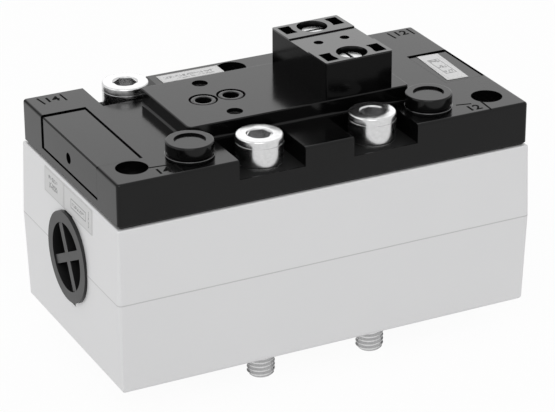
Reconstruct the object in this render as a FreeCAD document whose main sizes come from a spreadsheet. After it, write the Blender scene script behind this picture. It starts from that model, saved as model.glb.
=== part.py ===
import FreeCAD, Part
import math
import os
import Sketcher
from FreeCAD import Placement, Rotation, Vector

# Directional control valve, 5/2 way, spring return, for a sub-base with oblong ports.
# Frame: origin at the centre of the body's underside, +X along the spool, +Y to the rear, +Z up.
# The spool is drawn where its spring holds it, at the left end of its travel.

doc = FreeCAD.newDocument("directional_control_valve")
sheet = doc.addObject("Spreadsheet::Sheet", "sizes")
named = {}


class Size:
    # A length with two faces: its number, and the expression that ties a feature to the sheet.
    def __init__(self, number, text):
        self.number = number
        self.text = text

    def __add__(self, other):
        other = as_size(other)
        return Size(self.number + other.number, f"({self.text} + {other.text})")

    def __sub__(self, other):
        other = as_size(other)
        return Size(self.number - other.number, f"({self.text} - {other.text})")

    def __mul__(self, factor):
        factor = as_size(factor)
        return Size(self.number * factor.number, f"({self.text} * {factor.text})")

    def __truediv__(self, factor):
        factor = as_size(factor)
        return Size(self.number / factor.number, f"({self.text} / {factor.text})")

    def __neg__(self):
        return Size(-self.number, f"(0 - {self.text})")


def as_size(value):
    return value if isinstance(value, Size) else Size(value, f"({value})")


zero = as_size(0)
runs_per_turn = 12


def size(alias, number, note):
    # One row of the sheet: what the dimension is, and its value under an alias.
    row = len(named) + 1
    sheet.set(f"A{row}", note)
    sheet.set(f"B{row}", str(number))
    sheet.setAlias(f"B{row}", alias)
    named[alias] = Size(number, f"sizes.{alias}")
    return named[alias]


# Clearances
running_gap = size("running_gap", 0.05, "radial clearance of what slides")
seat_gap = size("seat_gap", 0.02, "radial clearance of what is pushed home")
overrun = size("overrun", 1.0, "how far a cut runs past the metal")

# Die-cast body
body_height = size("body_height", 49.2, "body, underside to top face")
parting_depth = size("parting_depth", 21.9, "mould parting line and spool axis, below the top face")
parting_width = size("parting_width", 69.9, "body width at the parting line")
draft_angle = size("draft_angle", 2.0, "draft of the walls, away from the parting line, degrees")
body_corner = size("body_corner", 1.3, "radius of the body's upright corners")
foot_radius = size("foot_radius", 1.2, "radius round the body's underside")
rim_radius = size("rim_radius", 0.5, "radius round the body's top face")

# Spool bore and ports
main_bore = size("main_bore", 22.0, "diameter of the bore for cages and seals")
port_pitch = size("port_pitch", 15.5, "distance between neighbouring ports along the spool")
port_width = size("port_width", 11.0, "width of an oblong port, along the spool")
port_length = size("port_length", 20.0, "length of an oblong port, across the spool")
port_row = size("port_row", 11.5, "distance of a row of ports from the middle plane")
annulus_diameter = size("annulus_diameter", 26.0, "air groove round the cages at each port")
annulus_width = size("annulus_width", 9.5, "width of the air groove")
seal_width = size("seal_width", 3.0, "width of a spool seal along the bore")
retainer_thickness = size("retainer_thickness", 1.2, "ring that holds the stack of cages")
retainer_diameter = size("retainer_diameter", 24.0, "outer diameter of that ring")
cage_gap = size("cage_gap", 0.4, "cages and retainers stand this clear of the spool, which the seals guide")
cage_window_length = size("cage_window_length", 7.5, "air window in a cage, along the spool")
cage_window_width = size("cage_window_width", 4.0, "air window in a cage, across")

# Spool and pistons
spool_diameter = size("spool_diameter", 16.0, "lands of the spool")
waist_diameter = size("waist_diameter", 9.0, "waists of the spool")
waist_length = size("waist_length", 15.0, "length of a waist")
spool_travel = size("spool_travel", 6.0, "spool travel from end to end")
end_play = size("end_play", 0.3, "gap left at each end of the travel")
spigot_diameter = size("spigot_diameter", 12.0, "spool end inside the piston")
piston_thickness = size("piston_thickness", 5.5, "piston along the bore")
piston_groove_width = size("piston_groove_width", 2.2, "groove of the piston seal")
piston_groove_depth = size("piston_groove_depth", 2.0, "depth of that groove")
spring_pocket = size("spring_pocket", 9.0, "bore in the spool end for the return spring")
spring_pocket_depth = size("spring_pocket_depth", 14.0, "depth of that bore")
spring_diameter = size("spring_diameter", 8.0, "outer diameter of the return spring")
spring_wire = size("spring_wire", 1.0, "wire of the return spring")
spring_turns = size("spring_turns", 7.0, "turns of the return spring")

# End caps, one mould for both ends
cap_bore = size("cap_bore", 26.6, "bore in the body for piston and cap")
cap_diameter = size("cap_diameter", 26.5, "cap, outside")
cap_length = size("cap_length", 11.55, "cap along the bore, nose included")
cap_proud = size("cap_proud", 0.7, "cap, proud of the body at the parting line")
cap_opening = size("cap_opening", 20.0, "opening inside the cap's rim")
cap_pocket_depth = size("cap_pocket_depth", 6.2, "depth of the four pockets")
cap_rib = size("cap_rib", 2.6, "thickness of the crossed ribs")
cap_rib_setback = size("cap_rib_setback", 0.4, "ribs lie this far below the rim")
cap_turn = size("cap_turn", 27.0, "turn of the locked cap from the entry slots, degrees")
cap_nose = size("cap_nose", 23.0, "cap's reduced nose, with the pilot air round it")
cap_nose_length = size("cap_nose_length", 3.0, "length of the nose")
cap_spring_seat = size("cap_spring_seat", 2.6, "depth of the spring seat in the nose")
cap_groove_diameter = size("cap_groove_diameter", 23.4, "bottom of the cap's ring groove")
cap_groove_width = size("cap_groove_width", 2.2, "width of the ring groove")
cap_groove_start = size("cap_groove_start", 1.0, "ring groove, behind the nose's shoulder")
lug_reach = size("lug_reach", 14.3, "bayonet lugs, from the axis")
lug_width = size("lug_width", 5.0, "width of a bayonet lug")
lug_thickness = size("lug_thickness", 1.8, "thickness of a bayonet lug")
lug_cover = size("lug_cover", 2.2, "metal in front of the lug groove")
lug_gap = size("lug_gap", 0.25, "clearance round a lug")

# Fixing screws
front_screw_x = size("front_screw_x", 17.5, "front pair of fixing screws, from the middle")
rear_screw_x = size("rear_screw_x", 35.0, "rear pair of fixing screws, from the middle")
screw_inset = size("screw_inset", 8.25, "fixing screws, from the cover's sides")
screw_diameter = size("screw_diameter", 8.0, "fixing screw M8")
screw_length = size("screw_length", 66.0, "fixing screw under its head")
screw_shank = size("screw_shank", 7.2, "reduced shank, as a rolled thread leaves it")
screw_head = size("screw_head", 13.3, "socket head, diameter over its knurl")
screw_head_height = size("screw_head_height", 8.0, "socket head, height")
screw_socket = size("screw_socket", 6.0, "hexagon across flats")
screw_socket_depth = size("screw_socket_depth", 4.0, "depth of the hexagon")
screw_head_chamfer = size("screw_head_chamfer", 0.5, "chamfer round the head's top")
screw_tip_chamfer = size("screw_tip_chamfer", 0.9, "chamfer at the tip")
screw_hole = size("screw_hole", 9.0, "clearance hole in the body")
sleeve_diameter = size("sleeve_diameter", 11.5, "steel sleeve under the head, outside")
sleeve_bore = size("sleeve_bore", 8.6, "steel sleeve, inside")
sleeve_flange = size("sleeve_flange", 13.0, "sleeve's flange on the notch floor, outside")
sleeve_flange_height = size("sleeve_flange_height", 0.7, "thickness of the flange")

# Moulded cover
cover_end_setback = size("cover_end_setback", 1.15, "cover's ends, inside the body's parting line")
cover_side_setback = size("cover_side_setback", 1.2, "cover's sides, inside the body's parting line")
cover_thickness = size("cover_thickness", 13.1, "cover, underside to top face")
cover_corner = size("cover_corner", 1.0, "radius of the cover's upright corners")
cover_rim = size("cover_rim", 0.8, "radius round the cover's top face")
cover_foot = size("cover_foot", 0.9, "chamfer round the cover's underside")
notch_width = size("notch_width", 20.0, "notch for a screw head, along the edge")
notch_reach = size("notch_reach", 15.6, "notch, from the cover's edge inwards")
notch_depth = size("notch_depth", 5.6, "notch, below the cover's top")
channel_width = size("channel_width", 3.4, "pilot air channel in the underside")
channel_depth = size("channel_depth", 2.0, "depth of the channel")

# Pilot pad
pad_length = size("pad_length", 68.8, "pilot pad along the spool")
pad_side_setback = size("pad_side_setback", 17.35, "pilot pad's sides, inside the cover's")
pad_height = size("pad_height", 4.4, "pilot pad above the cover")
pad_corner = size("pad_corner", 1.5, "radius of the pad's upright corners")
pad_root = size("pad_root", 0.7, "fillet at the pad's foot")
pad_edge = size("pad_edge", 0.35, "radius round the pad's top")
station_x = size("station_x", 18.05, "pilot station, from the middle")
station_port_pitch = size("station_port_pitch", 8.5, "distance between a station's two air ports")
station_port = size("station_port", 3.8, "air port of a station")
station_seat = size("station_seat", 8.3, "ring seat round the air port")
station_seat_depth = size("station_seat_depth", 1.2, "depth of the ring seat")
station_screw_pitch = size("station_screw_pitch", 22.8, "distance between a station's two screws")
insert_diameter = size("insert_diameter", 5.6, "threaded insert, outside")
insert_length = size("insert_length", 8.0, "threaded insert, length")
insert_sink = size("insert_sink", 1.2, "moulded-in insert lies this far below the pad")
insert_mouth = size("insert_mouth", 4.6, "hole in the pad above the insert")
pilot_screw = size("pilot_screw", 4.0, "pilot screw M4")

# Pilot block on the right-hand station
block_length = size("block_length", 21.4, "block along the spool")
block_width = size("block_width", 31.8, "block across the spool")
block_height = size("block_height", 11.1, "block above the pad")
block_turn = size("block_turn", 1.9, "turn of the block in the play of its screw holes, degrees")
block_corner = size("block_corner", 0.5, "radius of the block's upright corners")
block_wall = size("block_wall", 1.2, "wall outside the corner pockets")
corner_pocket_x = size("corner_pocket_x", 3.6, "corner pocket along the spool")
corner_pocket_y = size("corner_pocket_y", 5.6, "corner pocket across the spool")
corner_pocket_depth = size("corner_pocket_depth", 5.0, "depth of a corner pocket")
boss_diameter = size("boss_diameter", 12.4, "boss round a block screw")
block_counterbore = size("block_counterbore", 8.9, "counterbore for a block screw")
block_counterbore_depth = size("block_counterbore_depth", 4.0, "depth of that counterbore")
block_strip = size("block_strip", 11.2, "sunk strip across the block's top")
block_strip_depth = size("block_strip_depth", 0.35, "depth of the strip")
block_vent = size("block_vent", 2.8, "small hole above each air port")
block_vent_depth = size("block_vent_depth", 5.0, "depth of the small hole")
block_screw_head = size("block_screw_head", 7.6, "slotted head, diameter")
block_screw_head_height = size("block_screw_head_height", 2.7, "slotted head, height")
block_screw_slot = size("block_screw_slot", 1.0, "width of the driver slot")
block_screw_slot_depth = size("block_screw_slot_depth", 1.0, "depth of the driver slot")
block_screw_length = size("block_screw_length", 14.0, "block screw under its head")
block_screw_edge = size("block_screw_edge", 0.6, "radius round the slotted head")
block_screw_hole = size("block_screw_hole", 5.0, "clearance hole for a block screw")

# Override buttons
button_x = size("button_x", 37.0, "override button, from the middle")
button_inset = size("button_inset", 11.05, "override button, from the cover's side")
button_cap = size("button_cap", 13.5, "button's cap, diameter")
button_cap_height = size("button_cap_height", 2.8, "button's cap, height")
button_travel = size("button_travel", 1.0, "button travel")
button_rest_gap = size("button_rest_gap", 1.2, "cap above the cover at rest")
button_barrel = size("button_barrel", 12.4, "button's barrel, diameter")
button_barrel_depth = size("button_barrel_depth", 3.4, "barrel below the cover's top")
button_well_depth = size("button_well_depth", 6.2, "well for barrel and spring")
button_dish = size("button_dish", 8.8, "dish in the cap's top, diameter")
button_dish_depth = size("button_dish_depth", 0.6, "depth of the dish")
button_stem = size("button_stem", 5.0, "button's stem, diameter")
button_edge = size("button_edge", 0.5, "radius round the cap's top")
button_ring_depth = size("button_ring_depth", 2.1, "button's ring, below the cover's top")
button_ring_section = size("button_ring_section", 1.0, "section of the ring")
button_floor = size("button_floor", 1.6, "cover wall under the well")
stem_neck = size("stem_neck", 3.6, "stem inside the clip, diameter")
stem_tip = size("stem_tip", 0.6, "stem beyond the clip")
clip_diameter = size("clip_diameter", 8.0, "retaining clip on the stem")
clip_thickness = size("clip_thickness", 0.6, "thickness of the clip")
clip_room = size("clip_room", 9.4, "room for the clip, open below")
button_spring_diameter = size("button_spring_diameter", 10.4, "outer diameter of the button spring")
button_spring_wire = size("button_spring_wire", 0.5, "wire of the button spring")
button_spring_turns = size("button_spring_turns", 2.5, "turns of the button spring")

# Cover screws
cover_screw_end = size("cover_screw_end", 8.25, "front cover screws, from the cover's ends")
cover_screw_front_inset = size("cover_screw_front_inset", 9.15, "front cover screws, from the cover's side")
cover_screw_rear_inset = size("cover_screw_rear_inset", 5.55, "rear cover screw, from the cover's side")
cover_screw = size("cover_screw", 5.0, "cover screw M5")
cover_screw_hole = size("cover_screw_hole", 5.6, "clearance hole in the cover")
cover_counterbore = size("cover_counterbore", 9.0, "counterbore for the head")
cover_counterbore_rear = size("cover_counterbore_rear", 8.6, "counterbore of the rear screw")
cover_counterbore_depth = size("cover_counterbore_depth", 9.4, "depth of the counterbores")
cover_screw_head = size("cover_screw_head", 8.4, "socket head of a cover screw")
cover_screw_head_height = size("cover_screw_head_height", 5.0, "height of that head")
cover_screw_chamfer = size("cover_screw_chamfer", 0.3, "chamfer round that head's top")
cover_screw_socket = size("cover_screw_socket", 4.0, "hexagon across flats")
cover_screw_socket_depth = size("cover_screw_socket_depth", 2.5, "depth of the hexagon")
cover_screw_grip = size("cover_screw_grip", 13.0, "cover screw, reach into the body")
cover_screw_tip = size("cover_screw_tip", 0.5, "chamfer at the tip")
cover_thread_depth = size("cover_thread_depth", 14.0, "threaded hole for it in the body")

# End inserts of the cover
insert_depth = size("insert_depth", 9.9, "end inserts, height")
insert_reach = size("insert_reach", 13.55, "inner face of both end inserts, from the cover's ends")
insert_screw_wall = size("insert_screw_wall", 0.2, "cover left between that insert and a screw's head")
right_insert_front = size("right_insert_front", 10.6, "right insert, in front of the middle plane")
right_insert_rear = size("right_insert_rear", 12.4, "right insert, behind the middle plane")
right_lip = size("right_lip", 0.5, "cover's lip outside the right insert")
insert_gap = size("insert_gap", 0.05, "clearance of the inserts at their sides")
wide_groove = size("wide_groove", 1.8, "joint groove behind an insert")
thin_groove = size("thin_groove", 0.8, "joint groove along the left insert's inner edge")
lip_groove = size("lip_groove", 0.9, "joint groove inside the lip at the right-hand end")
foot_groove = size("foot_groove", 0.8, "joint groove under the left insert")
groove_depth = size("groove_depth", 1.2, "depth of the joint grooves")
hook_hole = size("hook_hole", 3.2, "release hole in the left insert, diameter")
hook_above = size("hook_above", 4.6, "release hole's centre above the insert's foot")
hook_depth = size("hook_depth", 2.4, "depth of the release hole")

# Gaskets and seals
gasket_thickness = size("gasket_thickness", 0.8, "cover gasket")
gasket_width = size("gasket_width", 13.0, "cover gasket across the spool")
gasket_margin = size("gasket_margin", 3.0, "cover gasket beyond the outer drillings")
pilot_drilling = size("pilot_drilling", 3.0, "pilot drilling in the body")
base_seal_rim = size("base_seal_rim", 2.0, "moulded seal round each oblong port")
base_seal_thickness = size("base_seal_thickness", 2.0, "moulded seal, thickness")
base_seal_web = size("base_seal_web", 4.0, "web that joins the seal's frames")
pilot_seat = size("pilot_seat", 7.0, "ring seat of a pilot port in the underside")
pilot_seat_depth = size("pilot_seat_depth", 1.5, "depth of that seat")

# Labels
label_thickness = size("label_thickness", 0.15, "thickness of a label")
rear_label_x = size("rear_label_x", -13.1, "rear label's centre along the spool")
rear_label_inset = size("rear_label_inset", 5.15, "rear label's centre, from the cover's side")
rear_label_length = size("rear_label_length", 19.4, "rear label's length")
rear_label_width = size("rear_label_width", 5.4, "rear label's width")
right_label_inset = size("right_label_inset", 8.25, "right label's centre, from the cover's end")
right_label_y = size("right_label_y", 0.5, "right label's centre across the spool")
right_label_length = size("right_label_length", 19.8, "right label across the spool")
right_label_width = size("right_label_width", 6.8, "right label along the spool")
right_label_turn = size("right_label_turn", -3.0, "turn of the right label, degrees")
end_label_height = size("end_label_height", 7.5, "height of the two labels on the left end")
end_label_drop = size("end_label_drop", 0.85, "their top edge below the body's top face")
end_label_rear = size("end_label_rear", 14.0, "width of the rear one")
end_label_rear_y = size("end_label_rear_y", 10.1, "its centre across the spool")
end_label_front = size("end_label_front", 19.8, "width of the front one")
end_label_front_y = size("end_label_front_y", -7.1, "its centre across the spool")

# Stations along the spool, from the ports outwards, and the body's length that follows
stack_half = port_pitch * 2.5 + seal_width / 2
chamber_start = stack_half + retainer_thickness
piston_inner = chamber_start + end_play + spool_travel
piston_outer = piston_inner + piston_thickness
right_piston_inner = piston_inner - spool_travel
cap_inner = piston_outer + end_play
cap_face = cap_inner + cap_length
parting_length = (cap_face - cap_proud) * 2
drilling_x = cap_inner + cap_nose_length / 2
ports_front = [-(port_pitch * 2), zero, port_pitch * 2]
ports_rear = [-port_pitch, port_pitch]
ports = [port_pitch * n for n in (-2, -1, 0, 1, 2)]

# The spool's axis follows the body's top face
parting_height = body_height - parting_depth

# The cover follows the body, and what lies at its ends and sides follows the cover
cover_length = parting_length - cover_end_setback * 2
cover_width = parting_width - cover_side_setback * 2
pad_width = cover_width - pad_side_setback * 2
cover_top = body_height + cover_thickness
pad_top = cover_top + pad_height
block_top = pad_top + block_height
notch_floor = cover_top - notch_depth
head_seat = notch_floor + sleeve_flange_height
insert_floor = cover_top - insert_depth
insert_inner_x = cover_length / 2 - insert_reach
rear_label_y = cover_width / 2 - rear_label_inset
right_label_x = cover_length / 2 - right_label_inset
screw_row = cover_width / 2 - screw_inset
front_screws = [(-front_screw_x, -screw_row), (front_screw_x, -screw_row)]
rear_screws = [(-rear_screw_x, screw_row), (rear_screw_x, screw_row)]
fixing_screws = front_screws + rear_screws
cover_screw_x = cover_length / 2 - cover_screw_end
cover_screw_front = cover_width / 2 - cover_screw_front_inset
cover_screw_rear = cover_width / 2 - cover_screw_rear_inset
front_cover_screws = [(-cover_screw_x, -cover_screw_front), (cover_screw_x, -cover_screw_front)]
rear_cover_screw = [(zero, cover_screw_rear)]
left_insert_half = cover_screw_front - cover_counterbore / 2 - insert_screw_wall
button_y = cover_width / 2 - button_inset
buttons = [(-button_x, -button_y), (button_x, -button_y)]


# Ways of drawing that every sub-part shares

def new_body(name):
    body = doc.addObject("PartDesign::Body", name)
    body.Label = name
    body.AllowCompound = True
    return body


def origin_feature(body, role):
    return [feature for feature in body.Origin.OriginFeatures if feature.Role == role][0]


def new_sketch(body, role, level=zero):
    # A sketch parallel to one of the body's own origin planes, moved along that plane's normal.
    sketch = body.newObject("Sketcher::SketchObject", body.Name + "_sketch")
    sketch.AttachmentSupport = [(origin_feature(body, role), "")]
    sketch.MapMode = "FlatFace"
    sketch.setExpression("AttachmentOffset.Base.z", level.text)
    return sketch


def tie(sketch, geometry, point, x, y):
    # Holds a point at (x, y), each by its own expression, or on the axis where that is nought.
    for kind, axis, value in (("DistanceX", -2, x), ("DistanceY", -1, y)):
        if value is zero:
            sketch.addConstraint(Sketcher.Constraint("PointOnObject", geometry, point, axis))
        else:
            place = Sketcher.Constraint(kind, -1, 1, geometry, point, value.number)
            index = sketch.addConstraint(place)
            sketch.setExpression(f"Constraints[{index}]", value.text)


def outline(sketch, corners):
    # A closed outline with straight sides.
    first = sketch.GeometryCount
    points = [Vector(x.number, y.number, 0) for x, y in corners]
    last = len(points) - 1
    for index, point in enumerate(points):
        following = points[0] if index == last else points[index + 1]
        sketch.addGeometry(Part.LineSegment(point, following), False)
    for index, corner in enumerate(corners):
        following = 0 if index == last else index + 1
        sketch.addConstraint(Sketcher.Constraint("Coincident", first + index, 2, first + following, 1))
        tie(sketch, first + index, 1, *corner)


def rectangle(sketch, left, right, low, high):
    outline(sketch, [(left, low), (right, low), (right, high), (left, high)])


def centred_rectangle(sketch, x, y, across, along):
    rectangle(sketch, x - across / 2, x + across / 2, y - along / 2, y + along / 2)


def circle(sketch, x, y, diameter):
    ring = Part.Circle(Vector(x.number, y.number, 0), Vector(0, 0, 1), diameter.number / 2)
    index = sketch.addGeometry(ring, False)
    measure = Sketcher.Constraint("Diameter", index, diameter.number)
    sketch.setExpression(f"Constraints[{sketch.addConstraint(measure)}]", diameter.text)
    tie(sketch, index, 3, x, y)


def circles(sketch, places, diameter):
    for x, y in places:
        circle(sketch, x, y, diameter)


def slot(sketch, x, y, width, length):
    # An oblong with round ends, its long way along the sketch's own Y.
    first = sketch.GeometryCount
    radius = width.number / 2
    reach = length.number / 2 - radius
    upper = Vector(x.number, y.number + reach, 0)
    lower = Vector(x.number, y.number - reach, 0)
    across = Vector(radius, 0, 0)
    top = Part.Circle(upper, Vector(0, 0, 1), radius)
    bottom = Part.Circle(lower, Vector(0, 0, 1), radius)
    sketch.addGeometry(Part.ArcOfCircle(top, 0, math.pi), False)
    sketch.addGeometry(Part.ArcOfCircle(bottom, math.pi, 2 * math.pi), False)
    sketch.addGeometry(Part.LineSegment(upper - across, lower - across), False)
    sketch.addGeometry(Part.LineSegment(lower + across, upper + across), False)
    joints = [(0, 2, 2, 1), (2, 2, 1, 1), (1, 2, 3, 1), (3, 2, 0, 1)]
    for one, end, other, start in joints:
        sketch.addConstraint(Sketcher.Constraint("Tangent", first + one, end, first + other, start))
    measure = Sketcher.Constraint("Radius", first, radius)
    sketch.setExpression(f"Constraints[{sketch.addConstraint(measure)}]", (width / 2).text)
    tie(sketch, first, 3, x, y + (length - width) / 2)
    tie(sketch, first + 1, 3, x, y - (length - width) / 2)


def flat_sided_circle(sketch, x, y, diameter, flat):
    # A circle cut off by a chord along the sketch's X, at the level called flat.
    first = sketch.GeometryCount
    radius = diameter.number / 2
    rise = math.asin((flat.number - y.number) / radius)
    start, end = (math.pi - rise, 2 * math.pi + rise) if rise > 0 else (rise, math.pi - rise)
    ring = Part.Circle(Vector(x.number, y.number, 0), Vector(0, 0, 1), radius)
    arc = Part.ArcOfCircle(ring, start, end)
    sketch.addGeometry(arc, False)
    sketch.addGeometry(Part.LineSegment(arc.EndPoint, arc.StartPoint), False)
    sketch.addConstraint(Sketcher.Constraint("Coincident", first, 2, first + 1, 1))
    sketch.addConstraint(Sketcher.Constraint("Coincident", first + 1, 2, first, 1))
    sketch.addConstraint(Sketcher.Constraint("Horizontal", first + 1))
    measure = Sketcher.Constraint("Radius", first, radius)
    sketch.setExpression(f"Constraints[{sketch.addConstraint(measure)}]", (diameter / 2).text)
    tie(sketch, first, 3, x, y)
    level = Sketcher.Constraint("DistanceY", -1, 1, first + 1, 1, flat.number)
    sketch.setExpression(f"Constraints[{sketch.addConstraint(level)}]", flat.text)


def rounded_rectangle(sketch, across, along, radius):
    # Centred on the origin, with a quarter circle at each corner.
    first = sketch.GeometryCount
    half_x = across.number / 2
    half_y = along.number / 2
    r = radius.number
    centres = [(half_x - r, half_y - r), (r - half_x, half_y - r),
               (r - half_x, r - half_y), (half_x - r, r - half_y)]
    ends = []
    for quarter, (x, y) in enumerate(centres):
        arc = Part.Circle(Vector(x, y, 0), Vector(0, 0, 1), r)
        start = quarter * math.pi / 2
        shape = Part.ArcOfCircle(arc, start, start + math.pi / 2)
        sketch.addGeometry(shape, False)
        ends.append((shape.StartPoint, shape.EndPoint))
    for quarter in range(4):
        following = (quarter + 1) % 4
        sketch.addGeometry(Part.LineSegment(ends[quarter][1], ends[following][0]), False)
    for quarter in range(4):
        following = (quarter + 1) % 4
        side = first + 4 + quarter
        sketch.addConstraint(Sketcher.Constraint("Tangent", first + quarter, 2, side, 1))
        sketch.addConstraint(Sketcher.Constraint("Tangent", side, 2, first + following, 1))
    for quarter in range(4):
        measure = Sketcher.Constraint("Radius", first + quarter, r)
        sketch.setExpression(f"Constraints[{sketch.addConstraint(measure)}]", radius.text)
    tie(sketch, first, 3, across / 2 - radius, along / 2 - radius)
    tie(sketch, first + 2, 3, radius - across / 2, radius - along / 2)


def pad(body, sketch, length, reverse=False, taper=None):
    feature = body.newObject("PartDesign::Pad", body.Name + "_pad")
    feature.Profile = sketch
    feature.setExpression("Length", length.text)
    feature.Reversed = reverse
    if taper:
        feature.setExpression("TaperAngle", (-taper).text)
    doc.recompute()
    return feature


def pocket(body, sketch, depth=None, reverse=False):
    # Removes the outline's prism, through everything where no depth is given.
    before = body.Shape.Volume
    feature = body.newObject("PartDesign::Pocket", body.Name + "_pocket")
    feature.Profile = sketch
    feature.Reversed = reverse
    if depth:
        feature.setExpression("Length", depth.text)
    else:
        feature.Type = "ThroughAll"
    doc.recompute()
    if body.Shape.Volume >= before - 1e-6:
        raise RuntimeError(f"{feature.Name} removes nothing from {body.Label}")
    return feature


def turn(body, sketch, kind="PartDesign::Revolution"):
    # Turns an outline about the sketch's horizontal axis, which is the spool's.
    feature = body.newObject(kind, body.Name + "_turned")
    feature.Profile = sketch
    feature.ReferenceAxis = (sketch, ["H_Axis"])
    feature.Angle = 360
    doc.recompute()
    return feature


def edges_where(feature, test):
    names = []
    for index, edge in enumerate(feature.Shape.Edges):
        if test(edge):
            names.append(f"Edge{index + 1}")
    if not names:
        raise RuntimeError(f"no edge of {feature.Name} fits")
    return names


def dress(body, base, test, kind, prop, measure):
    # Rounds or chamfers the edges of the last feature that pass a test.
    feature = body.newObject(kind, body.Name + "_edge")
    feature.Base = (base, edges_where(base, test))
    feature.setExpression(prop, measure.text)
    doc.recompute()
    return feature


def fillet(body, base, test, radius):
    return dress(body, base, test, "PartDesign::Fillet", "Radius", radius)


def chamfer(body, base, test, width):
    return dress(body, base, test, "PartDesign::Chamfer", "Size", width)


def lies_at(edge, level):
    # True for an edge that lies wholly at one height.
    box = edge.BoundBox
    return abs(box.ZMin - level.number) < 1e-4 and abs(box.ZMax - level.number) < 1e-4


def turn_about(body, x, y, degrees):
    # Turns a finished body about the upright line through (x, y).
    centre = Vector(x.number, y.number, 0)
    body.Placement = Placement(Vector(0, 0, 0), Rotation(Vector(0, 0, 1), degrees.number), centre)


def lift_to_axis(body):
    body.setExpression(".Placement.Base.z", parting_height.text)


def turned_part(name, corners):
    # A part turned about the spool axis, from its outline of (station, radius) corners.
    body = new_body(name)
    sketch = new_sketch(body, "XZ_Plane")
    outline(sketch, corners)
    turn(body, sketch)
    lift_to_axis(body)
    return body


def ring_part(name, station, width, outer, inner):
    # A plain ring on the spool axis, centred on a station.
    left = station - width / 2
    right = station + width / 2
    return turned_part(name, [(left, inner / 2), (right, inner / 2), (right, outer / 2), (left, outer / 2)])


def cross_ring(name, x, y, z, diameter, section, axis=Vector(0, 0, 1)):
    # A round-section ring, by the diameter of its centre line.
    ring = doc.addObject("Part::Torus", name)
    ring.Label = name
    ring.setExpression("Radius1", (diameter / 2).text)
    ring.setExpression("Radius2", (section / 2).text)
    ring.Placement = Placement(Vector(0, 0, 0), Rotation(Vector(0, 0, 1), axis))
    for letter, value in (("x", x), ("y", y), ("z", z)):
        ring.setExpression(f".Placement.Base.{letter}", value.text)
    return ring


def group(name, members):
    # Like pieces that share one node as separate solids.
    compound = doc.addObject("Part::Compound", name)
    compound.Label = name
    compound.Links = members
    return compound


def coil_spring(name, outer, wire, turns, start, finish, base, axis):
    # A coil spring between two stations along an axis: round wire along short straight runs,
    # twelve to the turn, mitred where they meet.
    radius = (outer.number - wire.number) / 2
    low = min(start.number, finish.number) + wire.number / 2
    rise = abs(finish.number - start.number) - wire.number
    count = round(turns.number * runs_per_turn)
    points = []
    for step in range(count + 1):
        angle = 2 * math.pi * step / runs_per_turn
        height = low + rise * step / count
        points.append(Vector(radius * math.cos(angle), radius * math.sin(angle), height))
    path = Part.makePolygon(points)
    section = Part.Wire(Part.makeCircle(wire.number / 2, points[0], points[1] - points[0]))
    spring = doc.addObject("Part::Feature", name)
    spring.Label = name
    spring.Shape = path.makePipeShell([section], True, False, 1)
    spring.Placement = Placement(base, Rotation(Vector(0, 0, 1), axis))
    return spring


# Valve body: two drafted halves back to back at the parting line

def make_valve_body():
    body = new_body("valve_body")
    lower = new_sketch(body, "XY_Plane", parting_height)
    rounded_rectangle(lower, parting_length, parting_width, body_corner)
    pad(body, lower, parting_height, reverse=True, taper=draft_angle)
    upper = new_sketch(body, "XY_Plane", parting_height)
    rounded_rectangle(upper, parting_length, parting_width, body_corner)
    casting = pad(body, upper, body_height - parting_height, taper=draft_angle)
    casting = fillet(body, casting, lambda edge: lies_at(edge, zero), foot_radius)
    fillet(body, casting, lambda edge: lies_at(edge, body_height), rim_radius)
    bore_body(body)
    cut_ports(body)
    drill_body(body)
    return body


def bore_body(body):
    # Every step of the spool bore in one outline, from end to end.
    end = cap_face + overrun
    lug_far = parting_length / 2 - lug_cover
    lug_near = lug_far - lug_thickness - lug_gap * 2
    steps = [(end, cap_bore), (lug_far, cap_bore), (lug_far, lug_room()), (lug_near, lug_room()),
             (lug_near, cap_bore), (chamber_start, cap_bore), (chamber_start, retainer_diameter),
             (stack_half, retainer_diameter), (stack_half, main_bore)]
    corners = [(-end, zero)]
    corners += [(-station, diameter / 2) for station, diameter in steps]
    for station in ports:
        left = station - annulus_width / 2
        right = station + annulus_width / 2
        corners += [(left, main_bore / 2), (left, annulus_diameter / 2)]
        corners += [(right, annulus_diameter / 2), (right, main_bore / 2)]
    corners += [(station, diameter / 2) for station, diameter in reversed(steps)]
    corners += [(end, zero)]
    sketch = new_sketch(body, "XZ_Plane")
    sketch.setExpression("AttachmentOffset.Base.y", parting_height.text)
    outline(sketch, corners)
    turn(body, sketch, "PartDesign::Groove")
    # the bayonet's entry slots, above and below the bore at both ends
    for station, reverse in ((end, False), (-end, True)):
        entry = new_sketch(body, "YZ_Plane", station)
        entry.setExpression("AttachmentOffset.Base.y", parting_height.text)
        centred_rectangle(entry, zero, zero, lug_width + lug_gap * 2, lug_room())
        pocket(body, entry, end - lug_near, reverse)


def lug_room():
    return (lug_reach + lug_gap) * 2


def cut_ports(body):
    # Oblong ports from the underside to the bore, and the recess of their moulded seal.
    for row, places in ((-port_row, ports_front), (port_row, ports_rear)):
        sketch = new_sketch(body, "XY_Plane")
        for x in places:
            slot(sketch, x, row, port_width, port_length)
        pocket(body, sketch, parting_height, reverse=True)
    for sketch in seal_outlines(body, seat_gap):
        pocket(body, sketch, base_seal_thickness, reverse=True)


def seal_outlines(body, gap):
    # The moulded seal: a frame round each oblong port, and a web between the rows.
    sketches = []
    rim = (base_seal_rim + gap) * 2
    for row, places in ((-port_row, ports_front), (port_row, ports_rear)):
        sketch = new_sketch(body, "XY_Plane")
        for x in places:
            slot(sketch, x, row, port_width + rim, port_length + rim)
        sketches.append(sketch)
    web = new_sketch(body, "XY_Plane")
    centred_rectangle(web, zero, zero, port_pitch * 4 + port_width, base_seal_web + gap * 2)
    sketches.append(web)
    return sketches


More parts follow.
